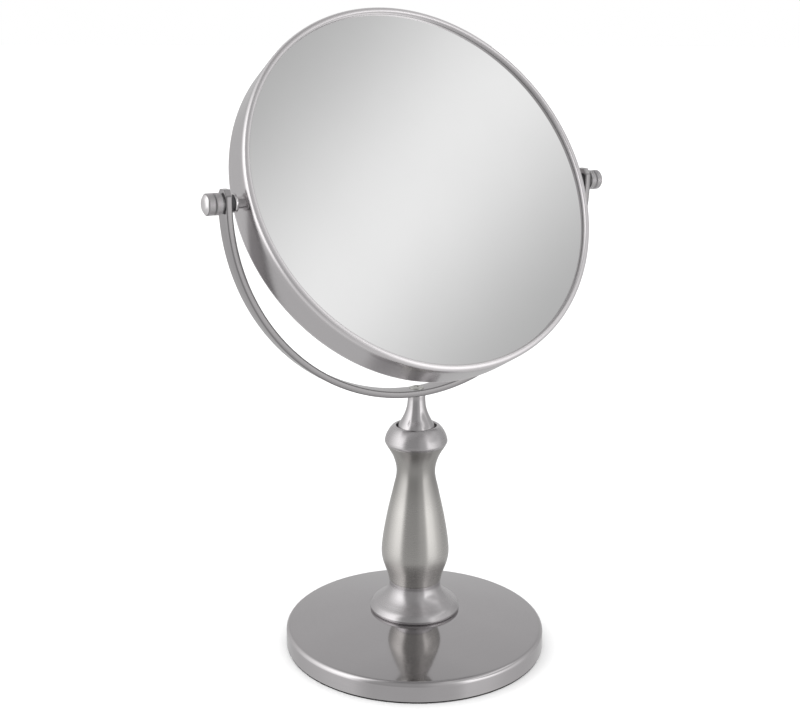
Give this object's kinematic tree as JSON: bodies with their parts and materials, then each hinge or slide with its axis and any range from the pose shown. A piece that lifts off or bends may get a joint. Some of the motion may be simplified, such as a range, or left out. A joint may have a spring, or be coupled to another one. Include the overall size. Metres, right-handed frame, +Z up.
{
  "type": "extendable shaving mirror",
  "caption": "Round two-sided mirror tilting in a half-ring yoke on a turned pedestal with a swivelling, extending post and a heavy round base.",
  "frame": {"origin": "centre of the base's underside, on the table", "axes": "+Z up, tilt pins along X, flat glass looking towards -Y and tilted back 28.6 degrees at rest"},
  "size_m": [0.2428, 0.1464, 0.3517],
  "materials": {
    "satin_nickel": "fine circumferential brushing, satin",
    "bright_nickel": "polished",
    "vase_nickel": "fine turned brushing, satin, very slightly warm",
    "mirror_glass": "silvered glass",
    "weight_iron": "cast, painted dark",
    "foam": "closed-cell foam, matt black",
    "plated_steel": "zinc-plated",
    "nylon": "natural nylon",
    "black_rubber": "matt",
    "grey_plastic": "matt"
  },
  "bodies": {
    "pedestal": {"base_pad": "foam", "base_shell": "satin_nickel", "base_weight": "weight_iron", "base_washer": "plated_steel", "base_nut": "plated_steel", "anchor_plug": "plated_steel", "guide_tube": "plated_steel", "pedestal_foot": "satin_nickel", "pedestal_body": "vase_nickel", "pedestal_collar": "satin_nickel", "mouth_bush": "grey_plastic"},
    "slider": {"slider_bush": "nylon", "friction_rings": "black_rubber"},
    "yoke": {"post": "bright_nickel", "post_washer": "plated_steel", "post_clip": "plated_steel", "neck_cone": "bright_nickel", "yoke_bow": "satin_nickel", "bow_screw": "plated_steel", "steel_washers": "bright_nickel", "nylon_washers": "grey_plastic"},
    "head": {"rim_hoop": "satin_nickel", "rear_ring": "satin_nickel", "flat_glass": "mirror_glass", "magnifying_glass": "mirror_glass", "core_disc": "foam", "glass_rest": "grey_plastic", "boss_left": "bright_nickel", "boss_right": "bright_nickel", "captive_nut_left": "plated_steel", "captive_nut_right": "plated_steel"},
    "left_knob": {"knob_left": "bright_nickel", "pin_left": "plated_steel"},
    "right_knob": {"knob_right": "bright_nickel", "pin_right": "plated_steel"}
  },
  "joints": [
    {"name": "post_slide", "type": "slide", "parent": "pedestal", "child": "slider", "axis": [0, 0, 1], "range_m": [0, 0.06]},
    {"name": "post_swivel", "type": "hinge", "parent": "slider", "child": "yoke", "pos_m": [0, 0, 0.05], "axis": [0, 0, 1], "continuous": true},
    {"name": "head_tilt", "type": "hinge", "parent": "yoke", "child": "head", "pos_m": [0, 0, 0.258], "axis": [1, 0, 0], "continuous": true},
    {"name": "left_knob_turn", "type": "hinge", "parent": "head", "child": "left_knob", "pos_m": [-0.112, 0, 0.258], "axis": [-1, 0, 0], "range_deg": [0, 360]},
    {"name": "right_knob_turn", "type": "hinge", "parent": "head", "child": "right_knob", "pos_m": [0.112, 0, 0.258], "axis": [1, 0, 0], "range_deg": [0, 360]}
  ]
}
